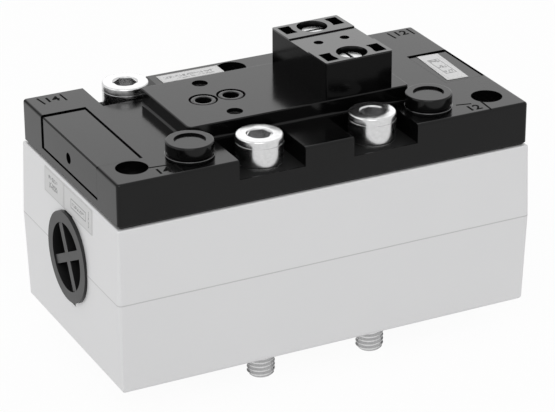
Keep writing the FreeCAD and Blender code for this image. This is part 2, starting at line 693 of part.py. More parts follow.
def drill_body(body):
    screws = new_sketch(body, "XY_Plane", body_height)
    circles(screws, fixing_screws, screw_hole)
    pocket(body, screws)
    threads = new_sketch(body, "XY_Plane", body_height)
    circles(threads, front_cover_screws + rear_cover_screw, cover_screw + seat_gap * 2)
    pocket(body, threads, cover_thread_depth)
    recess = new_sketch(body, "XY_Plane", body_height)
    centred_rectangle(recess, zero, zero, gasket_length() + seat_gap * 2, gasket_width + seat_gap * 2)
    pocket(body, recess, gasket_thickness)
    down = new_sketch(body, "XY_Plane", body_height)
    circles(down, drillings(), pilot_drilling)
    pocket(body, down, body_height - parting_height)
    up = new_sketch(body, "XY_Plane")
    circles(up, pilot_ports(), pilot_drilling)
    pocket(body, up, parting_height, reverse=True)
    seats = new_sketch(body, "XY_Plane")
    circles(seats, pilot_ports(), pilot_seat)
    pocket(body, seats, pilot_seat_depth, reverse=True)


def pilot_ports():
    return [(-drilling_x, zero), (drilling_x, zero)]


def drillings():
    return pilot_ports() + [(zero, zero)]


def gasket_length():
    return (drilling_x + gasket_margin) * 2


# Cages, seals and retaining rings: the stack that the spool slides in

def make_stack():
    for number, station in enumerate(ports, 1):
        make_cage(f"spool_cage_{number}", station)
    for number, step in enumerate((-2.5, -1.5, -0.5, 0.5, 1.5, 2.5), 1):
        inner = spool_diameter + running_gap * 2
        ring_part(f"spool_seal_{number}", port_pitch * step, seal_width, main_bore - seat_gap * 2, inner)
    middle = stack_half + retainer_thickness / 2
    for side, station in (("left", -middle), ("right", middle)):
        outer = retainer_diameter - seat_gap * 2
        inner = spool_diameter + cage_gap * 2
        ring_part(f"{side}_stack_retainer", station, retainer_thickness, outer, inner)


def make_cage(name, station):
    # A spacer between two seals, with six windows for the air.
    width = port_pitch - seal_width
    cage = ring_part(name, station, width, main_bore - seat_gap * 2, spool_diameter + cage_gap * 2)
    window = new_sketch(cage, "XY_Plane")
    centred_rectangle(window, station, zero, cage_window_length, cage_window_width)
    cut = pocket(cage, window, main_bore, reverse=True)
    around = cage.newObject("PartDesign::PolarPattern", name + "_windows")
    around.Originals = [cut]
    around.Axis = (origin_feature(cage, "X_Axis"), [""])
    around.Angle = 360
    around.Occurrences = 6
    cage.Tip = around
    doc.recompute()
    return cage


# Spool, its two pistons and their seals

def make_spool():
    centre = -(spool_travel / 2)
    land = spool_diameter / 2
    waist = waist_diameter / 2
    spigot = spigot_diameter / 2
    half = waist_length / 2
    depth = right_piston_outer() - spring_pocket_depth
    corners = [(-piston_outer, zero), (-piston_outer, spigot), (-piston_inner, spigot), (-piston_inner, land)]
    for station in ports_rear:
        corners += [(station + centre - half, land), (station + centre - half, waist)]
        corners += [(station + centre + half, waist), (station + centre + half, land)]
    corners += [(right_piston_inner, land), (right_piston_inner, spigot), (right_piston_outer(), spigot)]
    corners += [(right_piston_outer(), spring_pocket / 2), (depth, spring_pocket / 2), (depth, zero)]
    turned_part("spool", corners)


def right_piston_outer():
    return right_piston_inner + piston_thickness


def make_pistons():
    for side, near_face, far_face in (("left", -piston_inner, -piston_outer),
                                      ("right", right_piston_inner, right_piston_outer())):
        outer = cap_bore / 2 - running_gap
        inner = spigot_diameter / 2 + seat_gap
        middle = (near_face + far_face) / 2
        floor = outer - piston_groove_depth
        edge = piston_groove_width / 2
        low, high = (far_face, near_face) if side == "left" else (near_face, far_face)
        turned_part(f"{side}_piston", [
            (low, inner), (high, inner), (high, outer), (middle + edge, outer), (middle + edge, floor),
            (middle - edge, floor), (middle - edge, outer), (low, outer)])
        ring_part(f"{side}_piston_seal", middle, piston_groove_width - seat_gap * 2,
                  outer * 2, (floor + seat_gap) * 2)


# End caps: one moulding, turned in its bayonet, at both ends

def make_end_cap(side):
    cap = new_body(f"{side}_end_cap")
    shell = new_sketch(cap, "XZ_Plane")
    rim = cap_diameter / 2
    floor = cap_groove_diameter / 2
    groove_start = cap_inner + cap_nose_length + cap_groove_start
    groove_end = groove_start + cap_groove_width
    seat = cap_inner + cap_spring_seat
    outline(shell, [
        (seat, zero), (seat, spring_pocket / 2), (cap_inner, spring_pocket / 2), (cap_inner, cap_nose / 2),
        (cap_inner + cap_nose_length, cap_nose / 2), (cap_inner + cap_nose_length, rim),
        (groove_start, rim), (groove_start, floor), (groove_end, floor), (groove_end, rim),
        (cap_face, rim), (cap_face, zero)])
    turn(cap, shell)
    lug_level = parting_length / 2 - lug_cover - lug_gap - lug_thickness
    lugs = new_sketch(cap, "YZ_Plane", lug_level)
    centred_rectangle(lugs, zero, zero, lug_width, lug_reach * 2)
    pad(cap, lugs, lug_thickness)
    opening = new_sketch(cap, "YZ_Plane", cap_face)
    circle(opening, zero, zero, cap_opening)
    pocket(cap, opening, cap_pocket_depth)
    rib_length = cap_opening + overrun
    for across, along in ((cap_rib, rib_length), (rib_length, cap_rib)):
        rib = new_sketch(cap, "YZ_Plane", cap_face - cap_pocket_depth)
        centred_rectangle(rib, zero, zero, across, along)
        pad(cap, rib, cap_pocket_depth - cap_rib_setback)
    facing = Rotation(Vector(0, 0, 1), 180 if side == "left" else 0)
    cap.Placement = Placement(Vector(0, 0, 0), facing * Rotation(Vector(1, 0, 0), cap_turn.number))
    lift_to_axis(cap)
    station = (groove_start + groove_end) / 2
    section = (cap_bore - cap_groove_diameter) / 2 - seat_gap * 2
    place = -station if side == "left" else station
    cross_ring(f"{side}_cap_ring", place, zero, parting_height,
               (cap_bore + cap_groove_diameter) / 2, section, Vector(1, 0, 0))


# Moulded cover with its pilot pad

def make_cover():
    cover = new_body("top_cover")
    plate = new_sketch(cover, "XY_Plane", body_height)
    rounded_rectangle(plate, cover_length, cover_width, cover_corner)
    shape = pad(cover, plate, cover_thickness)
    shape = fillet(cover, shape, lambda edge: lies_at(edge, cover_top), cover_rim)
    chamfer(cover, shape, lambda edge: lies_at(edge, body_height), cover_foot)
    raised = new_sketch(cover, "XY_Plane", cover_top)
    rounded_rectangle(raised, pad_length, pad_width, pad_corner)
    shape = pad(cover, raised, pad_height)
    shape = fillet(cover, shape, lambda edge: lies_at(edge, pad_top), pad_edge)
    inside = pad_length.number / 2 + 0.01
    fillet(cover, shape, lambda edge: lies_at(edge, cover_top) and abs(edge.BoundBox.XMax) < inside, pad_root)
    cut_notches(cover)
    cut_cover_holes(cover)
    cut_button_wells(cover)
    cut_insert_seats(cover)
    cut_pilot_air(cover)
    return cover


def cut_notches(cover):
    notches = new_sketch(cover, "XY_Plane", cover_top)
    edge = cover_width / 2
    for x, y in fixing_screws:
        front = y.number < 0
        low = -(edge + overrun) if front else edge - notch_reach
        high = notch_reach - edge if front else edge + overrun
        rectangle(notches, x - notch_width / 2, x + notch_width / 2, low, high)
    pocket(cover, notches, notch_depth)
    sleeves = new_sketch(cover, "XY_Plane", cover_top)
    circles(sleeves, fixing_screws, sleeve_diameter + seat_gap * 2)
    pocket(cover, sleeves)


def cut_cover_holes(cover):
    through = new_sketch(cover, "XY_Plane", cover_top)
    circles(through, front_cover_screws + rear_cover_screw, cover_screw_hole)
    pocket(cover, through)
    heads = new_sketch(cover, "XY_Plane", cover_top)
    circles(heads, front_cover_screws, cover_counterbore)
    circles(heads, rear_cover_screw, cover_counterbore_rear)
    pocket(cover, heads, cover_counterbore_depth)


def cut_button_wells(cover):
    wells = new_sketch(cover, "XY_Plane", cover_top)
    circles(wells, buttons, button_barrel + running_gap * 2)
    pocket(cover, wells, button_well_depth)
    stems = new_sketch(cover, "XY_Plane", cover_top)
    circles(stems, buttons, button_stem + running_gap * 2)
    pocket(cover, stems)
    below = new_sketch(cover, "XY_Plane", body_height)
    circles(below, buttons, clip_room)
    pocket(cover, below, cover_thickness - button_well_depth - button_floor, reverse=True)


def cut_insert_seats(cover):
    beyond = cover_length / 2 + overrun
    seats = new_sketch(cover, "XY_Plane", cover_top)
    rectangle(seats, -beyond, -insert_inner_x, -left_insert_half, left_insert_half)
    rectangle(seats, insert_inner_x, cover_length / 2 - right_lip, -right_insert_front, right_insert_rear)
    pocket(cover, seats, insert_depth)


def cut_pilot_air(cover):
    # Stations on the pad, and the channels that lead from them to the body's drillings.
    mouths = new_sketch(cover, "XY_Plane", pad_top)
    circles(mouths, station_screws(), insert_mouth)
    pocket(cover, mouths, insert_sink)
    holes = new_sketch(cover, "XY_Plane", pad_top - insert_sink)
    circles(holes, station_screws(), insert_diameter + seat_gap * 2)
    pocket(cover, holes, insert_length)
    seats = new_sketch(cover, "XY_Plane", pad_top)
    circles(seats, station_ports(), station_seat)
    pocket(cover, seats, station_seat_depth)
    air = new_sketch(cover, "XY_Plane", pad_top)
    circles(air, station_ports(), station_port)
    pocket(cover, air)
    channels = new_sketch(cover, "XY_Plane", body_height)
    outer = station_x + station_port_pitch / 2
    inner = station_x - station_port_pitch / 2
    half = channel_width / 2
    rectangle(channels, -inner - half, inner + half, -half, half)
    rectangle(channels, outer - half, drilling_x + half, -half, half)
    rectangle(channels, -drilling_x - half, half - outer, -half, half)
    pocket(cover, channels, channel_depth, reverse=True)


def station_screws():
    half = station_screw_pitch / 2
    return [(x, y) for x in (-station_x, station_x) for y in (-half, half)]


def station_ports():
    half = station_port_pitch / 2
    return [(x + step, zero) for x in (-station_x, station_x) for step in (-half, half)]


# Gaskets between body, cover and sub-base

def make_gaskets():
    sheet_gasket = new_body("cover_gasket")
    face = new_sketch(sheet_gasket, "XY_Plane", body_height)
    centred_rectangle(face, zero, zero, gasket_length(), gasket_width)
    pad(sheet_gasket, face, gasket_thickness, reverse=True)
    holes = new_sketch(sheet_gasket, "XY_Plane", body_height)
    circles(holes, drillings(), pilot_drilling)
    pocket(sheet_gasket, holes)
    base = new_body("base_gasket")
    for sketch in seal_outlines(base, zero):
        pad(base, sketch, base_seal_thickness)
    for row, places in ((-port_row, ports_front), (port_row, ports_rear)):
        openings = new_sketch(base, "XY_Plane")
        for x in places:
            slot(openings, x, row, port_width, port_length)
        pocket(base, openings, base_seal_thickness, reverse=True)
    rings = []
    section = pilot_seat_depth - seat_gap * 2
    for side, (x, y) in zip(("left", "right"), pilot_ports()):
        ring = cross_ring(f"{side}_base_pilot_ring", x, y, pilot_seat_depth / 2,
                          pilot_seat - section - seat_gap * 2, section)
        rings.append(ring)
    group("base_pilot_rings", rings)


# Screws, sleeves and threaded inserts

def make_socket_screws(name, places, head_level, sizes_of):
    # Socket head screws at several places, one node of separate solids.
    diameter, length, head, head_height, head_chamfer, socket, socket_depth, tip = sizes_of
    body = new_body(name)
    heads = new_sketch(body, "XY_Plane", head_level)
    circles(heads, places, head)
    shape = pad(body, heads, head_height)
    top = head_level + head_height
    chamfer(body, shape, lambda edge: lies_at(edge, top), head_chamfer)
    shanks = new_sketch(body, "XY_Plane", head_level)
    circles(shanks, places, diameter)
    shape = pad(body, shanks, length, reverse=True)
    chamfer(body, shape, lambda edge: lies_at(edge, head_level - length), tip)
    hexagons = new_sketch(body, "XY_Plane", top)
    for x, y in places:
        hexagon(hexagons, x, y, socket)
    pocket(body, hexagons, socket_depth)
    return body


def hexagon(sketch, x, y, across_flats):
    # Corners worked out from the width across flats, two of them on the X axis.
    corner = across_flats / math.sqrt(3)
    corners = []
    for step in range(6):
        angle = math.radians(60 * step)
        dx = corner * round(math.cos(angle), 9)
        dy = corner * round(math.sin(angle), 9)
        corners.append((x + dx, y + dy))
    outline(sketch, corners)


def make_screws():
    screws = make_socket_screws("mounting_screws", fixing_screws, head_seat, (
        screw_diameter, screw_length, screw_head, screw_head_height, screw_head_chamfer,
        screw_socket, screw_socket_depth, screw_tip_chamfer))
    # the thread that the sub-base takes stands out of the underside, and the shank above it is reduced
    shanks = new_sketch(screws, "XY_Plane")
    circles(shanks, fixing_screws, screw_diameter + overrun)
    circles(shanks, fixing_screws, screw_shank)
    pocket(screws, shanks, head_seat, reverse=True)
    seat = cover_top - cover_counterbore_depth
    under_head = seat - body_height + cover_screw_grip
    make_socket_screws("cover_screws", front_cover_screws + rear_cover_screw, seat, (
        cover_screw, under_head, cover_screw_head, cover_screw_head_height, cover_screw_chamfer,
        cover_screw_socket, cover_screw_socket_depth, cover_screw_tip))
    sleeves = new_body("screw_sleeves")
    rings = new_sketch(sleeves, "XY_Plane", body_height)
    circles(rings, fixing_screws, sleeve_diameter)
    circles(rings, fixing_screws, sleeve_bore)
    pad(sleeves, rings, head_seat - body_height)
    flanges = new_sketch(sleeves, "XY_Plane", notch_floor)
    circles(flanges, fixing_screws, sleeve_flange)
    circles(flanges, fixing_screws, sleeve_bore)
    pad(sleeves, flanges, sleeve_flange_height)


def make_inserts():
    inserts = new_body("pilot_inserts")
    top = pad_top - insert_sink
    rings = new_sketch(inserts, "XY_Plane", top)
    circles(rings, station_screws(), insert_diameter)
    circles(rings, station_screws(), pilot_screw + seat_gap * 2)
    pad(inserts, rings, insert_length, reverse=True)


# Pilot block, its screws and rings

def make_pilot_block():
    block = new_body("pilot_block")
    foot = new_sketch(block, "XY_Plane", pad_top)
    foot.setExpression("AttachmentOffset.Base.x", station_x.text)
    rounded_rectangle(foot, block_length, block_width, block_corner)
    pad(block, foot, block_height)
    half = station_screw_pitch / 2
    places = [(station_x, -half), (station_x, half)]
    corners = new_sketch(block, "XY_Plane", block_top)
    for x_side in (-1, 1):
        for y_side in (-1, 1):
            x = station_x + (block_length / 2 - block_wall - corner_pocket_x / 2) * x_side
            y = (block_width / 2 - block_wall - corner_pocket_y / 2) * y_side
            centred_rectangle(corners, x, y, corner_pocket_x, corner_pocket_y)
    pocket(block, corners, corner_pocket_depth)
    bosses = new_sketch(block, "XY_Plane", block_top - corner_pocket_depth)
    for x, y in places:
        face = -(block_width / 2) if y.number < 0 else block_width / 2
        flat_sided_circle(bosses, x, y, boss_diameter, face)
    pad(block, bosses, corner_pocket_depth)
    heads = new_sketch(block, "XY_Plane", block_top)
    circles(heads, places, block_counterbore)
    pocket(block, heads, block_counterbore_depth)
    shanks = new_sketch(block, "XY_Plane", block_top)
    circles(shanks, places, block_screw_hole)
    pocket(block, shanks)
    strip = new_sketch(block, "XY_Plane", block_top)
    centred_rectangle(strip, station_x, zero, block_length + overrun, block_strip)
    pocket(block, strip, block_strip_depth)
    vents = new_sketch(block, "XY_Plane", block_top)
    ports_here = [(station_x + station_port_pitch / 2, zero), (station_x - station_port_pitch / 2, zero)]
    circles(vents, ports_here, block_vent)
    pocket(block, vents, block_vent_depth)
    turn_about(block, station_x, zero, block_turn)
    make_block_screws(places)
    rings = []
    section = station_seat_depth - seat_gap * 2
    for side, (x, y) in zip(("inner", "outer"), reversed(ports_here)):
        rings.append(cross_ring(f"{side}_block_ring", x, y, pad_top - station_seat_depth / 2,
                                station_seat - section - seat_gap * 2, section))
    group("pilot_block_rings", rings)


def make_block_screws(places):
    screws = new_body("pilot_block_screws")
    seat = block_top - block_counterbore_depth
    heads = new_sketch(screws, "XY_Plane", seat)
    circles(heads, places, block_screw_head)
    shape = pad(screws, heads, block_screw_head_height)
    top = seat + block_screw_head_height
    fillet(screws, shape, lambda edge: lies_at(edge, top), block_screw_edge)
    shanks = new_sketch(screws, "XY_Plane", seat)
    circles(shanks, places, pilot_screw)
    pad(screws, shanks, block_screw_length, reverse=True)
    slots = new_sketch(screws, "XY_Plane", top)
    (x, front), (x, rear) = places
    long_way = block_screw_head + overrun
    centred_rectangle(slots, x, front, block_screw_slot, long_way)
    centred_rectangle(slots, x, rear, long_way, block_screw_slot)
    pocket(screws, slots, block_screw_slot_depth)


# Override buttons, each with a clip, a ring and a spring

def make_button(side, x, y):
    button = new_body(f"{side}_override_button")
    cap_low = cover_top + button_rest_gap
    barrel_low = cover_top - button_barrel_depth
    ledge = cover_top - button_well_depth
    clip_top = ledge - button_floor
    stem_low = clip_top - clip_thickness - stem_tip
    ring_level = cover_top - button_ring_depth
    section = button_ring_section
    sketch = new_sketch(button, "XY_Plane", cap_low)
    circle(sketch, x, y, button_cap)
    shape = pad(button, sketch, button_cap_height)
    cap_top = cap_low + button_cap_height
    fillet(button, shape, lambda edge: lies_at(edge, cap_top), button_edge)
    sketch = new_sketch(button, "XY_Plane", cap_top)
    circle(sketch, x, y, button_dish)
    pocket(button, sketch, button_dish_depth)
    sketch = new_sketch(button, "XY_Plane", barrel_low)
    circle(sketch, x, y, button_barrel)
    pad(button, sketch, cap_low - barrel_low)
    groove = new_sketch(button, "XY_Plane", ring_level + section / 2)
    circle(groove, x, y, button_barrel + overrun)
    circle(groove, x, y, button_barrel - section * 2)
    pocket(button, groove, section)
    stem = new_sketch(button, "XY_Plane", stem_low)
    circle(stem, x, y, button_stem)
    pad(button, stem, barrel_low - stem_low)
    neck = new_sketch(button, "XY_Plane", clip_top)
    circle(neck, x, y, button_stem + overrun)
    circle(neck, x, y, stem_neck)
    pocket(button, neck, clip_thickness)
    clip = new_body(f"{side}_button_clip")
    ring = new_sketch(clip, "XY_Plane", clip_top)
    circle(ring, x, y, clip_diameter)
    circle(ring, x, y, stem_neck + seat_gap * 2)
    pad(clip, ring, clip_thickness, reverse=True)
    cross_ring(f"{side}_button_ring", x, y, ring_level,
               button_barrel - section + running_gap, section - seat_gap * 2)
    coil_spring(f"{side}_button_spring", button_spring_diameter, button_spring_wire, button_spring_turns,
                 ledge, barrel_low, Vector(x.number, y.number, 0), Vector(0, 0, 1))


# Inserts at the cover's ends, with the joint grooves the joints show

def make_end_inserts():
    left = new_body("left_end_insert")
    outer = -(cover_length / 2)
    inner = -(insert_inner_x + insert_gap)
    front = insert_gap - left_insert_half
    rear = left_insert_half - insert_gap
    sketch = new_sketch(left, "XY_Plane", insert_floor)
    rectangle(sketch, outer, inner, front, rear)
    pad(left, sketch, insert_depth)
    groove = new_sketch(left, "XY_Plane", cover_top)
    rectangle(groove, inner - thin_groove, inner + overrun, front - overrun, rear + overrun)
    pocket(left, groove, groove_depth)
    groove = new_sketch(left, "XY_Plane", cover_top)
    rectangle(groove, outer - overrun, inner + overrun, rear - wide_groove, rear + overrun)
    pocket(left, groove, groove_depth)
    groove = new_sketch(left, "XY_Plane", cover_top)
    rectangle(groove, outer - overrun, outer + groove_depth, rear - wide_groove, rear + overrun)
    pocket(left, groove)
    foot = new_sketch(left, "XY_Plane", insert_floor)
    rectangle(foot, outer - overrun, outer + groove_depth, front - overrun, rear + overrun)
    pocket(left, foot, foot_groove, reverse=True)
    hook = new_sketch(left, "YZ_Plane", outer)
    circle(hook, zero, insert_floor + hook_above, hook_hole)
    pocket(left, hook, hook_depth, reverse=True)

    right = new_body("right_end_insert")
    outer = cover_length / 2 - right_lip - insert_gap
    inner = insert_inner_x + insert_gap
    front = insert_gap - right_insert_front
    rear = right_insert_rear - insert_gap
    sketch = new_sketch(right, "XY_Plane", insert_floor)
    rectangle(sketch, inner, outer, front, rear)
    pad(right, sketch, insert_depth)
    groove = new_sketch(right, "XY_Plane", cover_top)
    rectangle(groove, inner - overrun, outer + overrun, rear - wide_groove, rear + overrun)
    pocket(right, groove, groove_depth)
    groove = new_sketch(right, "XY_Plane", cover_top)
    rectangle(groove, outer - lip_groove, outer + overrun, front - overrun, rear + overrun)
    pocket(right, groove, groove_depth)


# Labels, all bare

def make_labels():
    make_plate("rear_label", rear_label_x, rear_label_y, cover_top, rear_label_length, rear_label_width)
    plate = make_plate("right_label", right_label_x, right_label_y, cover_top,
                       right_label_width, right_label_length)
    turn_about(plate, right_label_x, right_label_y, right_label_turn)
    # the two on the left end lie on its drafted wall
    slope = math.radians(draft_angle.number)
    wall = -(parting_length.number / 2) + (body_height - parting_height).number * math.tan(slope)
    for name, y, width in (("rear_end_label", end_label_rear_y, end_label_rear),
                           ("front_end_label", end_label_front_y, end_label_front)):
        plate = doc.addObject("Part::Box", name)
        plate.Label = name
        plate.setExpression("Length", label_thickness.text)
        plate.setExpression("Width", width.text)
        plate.setExpression("Height", end_label_height.text)
        down = (end_label_drop + end_label_height).number
        foot = Vector(wall - down * math.tan(slope), (y - width / 2).number, body_height.number - down)
        lean = Rotation(Vector(0, 1, 0), draft_angle.number)
        outward = lean.multVec(Vector(-label_thickness.number, 0, 0))
        plate.Placement = Placement(foot + outward, lean)


def make_plate(name, x, y, level, length, width):
    plate = new_body(name)
    sketch = new_sketch(plate, "XY_Plane", level)
    centred_rectangle(sketch, x, y, length, width)
    pad(plate, sketch, label_thickness)
    return plate


def make_return_spring():
    start = right_piston_outer() - spring_pocket_depth
    finish = cap_inner + cap_spring_seat
    coil_spring("return_spring", spring_diameter, spring_wire, spring_turns, start, finish,
                 Vector(0, 0, parting_height.number), Vector(1, 0, 0))


make_valve_body()
make_stack()
make_spool()
make_pistons()
make_end_cap("left")
make_end_cap("right")
make_cover()
make_gaskets()
make_screws()
make_inserts()
make_pilot_block()
for side_name, (button_place_x, button_place_y) in zip(("left", "right"), buttons):
    make_button(side_name, button_place_x, button_place_y)
make_end_inserts()
make_labels()
make_return_spring()
doc.recompute()

# Everything that is neither inside a body nor a member of a group is a sub-part of its own.
grouped = [member for item in doc.Objects if item.TypeId == "Part::Compound" for member in item.Links]
kinds = ("PartDesign::Body", "Part::Torus", "Part::Box", "Part::Feature", "Part::Compound")
subparts = [item for item in doc.Objects if item.TypeId in kinds and item not in grouped]

for item in doc.Objects:
    if "Invalid" in item.State or "Error" in item.State:
        raise RuntimeError(f"{item.Name} failed: {item.State}")
for item in subparts:
    if item.Shape.isNull() or not item.Shape.isValid() or not item.Shape.Solids:
        raise RuntimeError(f"{item.Label} has no valid solid")

os.makedirs("parts", exist_ok=True)
for item in subparts:
    item.Shape.exportStep(f"parts/{item.Label}.step")
    print(item.Label, len(item.Shape.Solids), round(item.Shape.Volume, 1))
print(len(subparts), "sub-parts")
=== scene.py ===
import math

import bpy
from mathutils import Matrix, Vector


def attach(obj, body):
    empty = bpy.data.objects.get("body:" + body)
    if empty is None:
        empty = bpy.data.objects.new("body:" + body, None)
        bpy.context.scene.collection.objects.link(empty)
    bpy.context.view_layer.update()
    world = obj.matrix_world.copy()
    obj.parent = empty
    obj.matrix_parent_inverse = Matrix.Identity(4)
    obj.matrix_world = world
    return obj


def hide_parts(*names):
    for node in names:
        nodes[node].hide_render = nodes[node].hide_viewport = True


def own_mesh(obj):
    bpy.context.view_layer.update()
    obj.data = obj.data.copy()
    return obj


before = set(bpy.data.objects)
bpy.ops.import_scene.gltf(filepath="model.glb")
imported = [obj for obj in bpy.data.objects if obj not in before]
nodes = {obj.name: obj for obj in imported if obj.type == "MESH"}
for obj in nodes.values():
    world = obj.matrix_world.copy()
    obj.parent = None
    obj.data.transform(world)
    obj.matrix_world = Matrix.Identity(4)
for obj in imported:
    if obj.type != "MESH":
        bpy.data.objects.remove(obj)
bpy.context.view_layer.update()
mm = 0.001
print("frame loaded:", len(nodes), "nodes")


# Camera, fitted to the edges of the cover, the pad and the body

camera = {
    "eye": (-0.30003, -0.60093, 0.34083),
    "yaw": 27.0083,  # degrees to the right of straight ahead
    "pitch": 24.7648,  # degrees down
    "lens": 166.388,
    "sensor": 36,
    "shift": (-0.030756, -0.009597),
    "reach": (0.05, 20),
}

cameraData = bpy.data.cameras.new("productCamera")
cameraData.lens = camera["lens"]
cameraData.sensor_width = camera["sensor"]
cameraData.shift_x, cameraData.shift_y = camera["shift"]
cameraData.clip_start, cameraData.clip_end = camera["reach"]
viewer = bpy.data.objects.new("productCamera", cameraData)
viewer.location = camera["eye"]
viewer.rotation_euler = (math.radians(90 - camera["pitch"]), 0, math.radians(-camera["yaw"]))
bpy.context.scene.collection.objects.link(viewer)
bpy.context.scene.camera = viewer
bpy.context.scene.view_settings.view_transform = "Standard"


# Shader maths written as Python

class Signal:
    # a socket that takes part in sums
    def __init__(self, finish, socket):
        self.finish = finish
        self.socket = socket

    def maths(self, operation, *values):
        return self.finish.node("ShaderNodeMath", {"operation": operation}, values)

    def __add__(self, other):
        return self.maths("ADD", self, other)

    def __radd__(self, other):
        return self.maths("ADD", other, self)

    def __sub__(self, other):
        return self.maths("SUBTRACT", self, other)

    def __rsub__(self, other):
        return self.maths("SUBTRACT", other, self)

    def __mul__(self, other):
        return self.maths("MULTIPLY", self, other)

    def __rmul__(self, other):
        return self.maths("MULTIPLY", other, self)

    def __abs__(self):
        return self.maths("ABSOLUTE", self)

    def __lt__(self, other):
        return self.maths("LESS_THAN", self, other)

    def __gt__(self, other):
        return self.maths("GREATER_THAN", self, other)

    def atLeast(self, other):
        return self.maths("MAXIMUM", self, other)


mixSockets = {"share": 0, "first": 6, "second": 7, "result": 2}  # the colour sockets of a Mix node


class Finish:
    # one material, its shader and whatever feeds it
    def __init__(self, name, **values):
        self.material = bpy.data.materials.new(name)
        self.material.use_nodes = True
        self.tree = self.material.node_tree
        self.shader = self.tree.nodes["Principled BSDF"]
        for socket, value in values.items():
            self.shader.inputs[socket.replace("_", " ")].default_value = value
        self.place = self.node("ShaderNodeTexCoord", output="Object")
        self.x = self.node("ShaderNodeSeparateXYZ", {}, [self.place], output="X")
        apart = self.x.socket.node
        self.y = Signal(self, apart.outputs["Y"])
        self.z = Signal(self, apart.outputs["Z"])

    def node(self, kind, settings=None, values=(), output=0):
        # settings go on the node first, then the values or links of its sockets
        made = self.tree.nodes.new(kind)
        for name, setting in (settings or {}).items():
            setattr(made, name, setting)
        pairs = values.items() if isinstance(values, dict) else enumerate(values)
        for key, value in pairs:
            self.feed(made.inputs[key], value)
        return Signal(self, made.outputs[output])

    def feed(self, socket, value):
        if isinstance(value, Signal):
            self.tree.links.new(value.socket, socket)
        else:
            socket.default_value = value

    def give(self, socket, value):
        self.feed(self.shader.inputs[socket], value)

    def noise(self, scale, detail=2.0, roughness=0.5, stretch=None):
        place = self.place
        if stretch:
            place = self.node("ShaderNodeMapping", {}, {"Vector": place, "Scale": stretch})
        return self.node("ShaderNodeTexNoise", {}, {
            "Vector": place, "Scale": scale, "Detail": detail, "Roughness": roughness})

    def mix(self, share, first, second):
        values = {mixSockets["share"]: share, mixSockets["first"]: first, mixSockets["second"]: second}
        return self.node("ShaderNodeMix", {"data_type": "RGBA"}, values, mixSockets["result"])

    def bump(self, height, strength, distance, normal=None):
        values = {"Height": height, "Strength": strength, "Distance": distance}
        if normal:
            values["Normal"] = normal
        return self.node("ShaderNodeBump", {}, values)


def grey(level, tint=0.0):
    return (level, level, level * (1 + tint), 1)


# In every dictionary of a material, a noise is its scale, detail, roughness and stretch,
# and a bump is its strength and its depth

castMetal = {
    "light": grey(0.76, 0.005), "dark": grey(0.735, 0.01), "seam": grey(0.36), "seamShare": 0.5,
    "clouds": (45, 3.0), "grain": (2600, 2.0, 0.6), "waves": (300, 1.0),
    "partingZ": 27.3 * mm, "partingHalf": 0.16 * mm, "wander": 0.08 * mm,
    "roughness": 0.42, "cloudRoughness": 0.08, "grainRoughness": 0.06,
    "grainBump": (0.12, 0.05 * mm), "seamBump": (0.5, 0.1 * mm),
}


def makeCastMetal():
    finish = Finish("castMetal", Metallic=0.3, Specular_IOR_Level=0.4)
    clouds, grain = finish.noise(*castMetal["clouds"]), finish.noise(*castMetal["grain"])
    # the parting line wanders to both sides of its level
    wander = finish.noise(*castMetal["waves"]) * castMetal["wander"]
    offLine = abs(finish.z + wander - (castMetal["partingZ"] + castMetal["wander"] / 2))
    # the band of the parting line: painted darker as painted shade, and bumped as a groove
    seam = offLine < castMetal["partingHalf"]
    tone = finish.mix(clouds, castMetal["dark"], castMetal["light"])
    finish.give("Base Color", finish.mix(seam * castMetal["seamShare"], tone, castMetal["seam"]))
    finish.give("Roughness", castMetal["roughness"] + clouds * castMetal["cloudRoughness"]
                + grain * castMetal["grainRoughness"])
    grainBump = finish.bump(grain, *castMetal["grainBump"])
    finish.give("Normal", finish.bump(1 - seam, *castMetal["seamBump"], grainBump))
    return finish.material


blackMoulding = {
    "colour": grey(0.0012, 0.04), "worn": grey(0.0035, 0.02), "ior": 1.31, "coatRoughness": 0.12,
    "flow": (60, 3.0, 0.55, (1, 1.6, 1)), "grain": (1800, 2.0, 0.6),
    "roughness": 0.09, "flowRoughness": 0.08, "grainRoughness": 0.03, "dullRoughness": 0.6,
    "flowRelief": 0.6, "bump": (0.10, 0.04 * mm),
    "notchFloor": 56.7 * mm, "floorHalf": 0.05 * mm,
    "insideX": 62.9 * mm, "insideY": 33.4 * mm,
    "edgeX": -62.85 * mm, "edgeZ": 61.9 * mm,
    "blockIor": 1.18, "blockGloss": 77.3 * mm,
}


def makeBlackMoulding(name, ior, glossFrom=None):
    make = blackMoulding
    finish = Finish(name, IOR=ior, Coat_IOR=make["ior"], Coat_Roughness=make["coatRoughness"])
    flow, grain = finish.noise(*make["flow"]), finish.noise(*make["grain"])
    finish.give("Base Color", finish.mix(flow, make["colour"], make["worn"]))
    # the notch floors are left as the mould's spark-cut face, which mirrors nothing
    spark = abs(finish.z - make["notchFloor"]) < make["floorHalf"]
    # the outer walls cross that level too, and stay glossy
    spark = spark * (abs(finish.y) < make["insideY"]) * (abs(finish.x) < make["insideX"])
    # the rounded top edge of the left end is dull too, and shows as a dark line
    dull = spark.atLeast((finish.x < make["edgeX"]) * (finish.z > make["edgeZ"]))
    finish.give("Roughness", make["roughness"] + flow * make["flowRoughness"]
                + grain * make["grainRoughness"] + dull * make["dullRoughness"])
    finish.give("Normal", finish.bump(grain + flow * make["flowRelief"], *make["bump"]))
    if glossFrom is not None:
        # only the top of the pilot block was polished in the mould
        finish.give("Coat Weight", finish.z > glossFrom)
    return finish.material


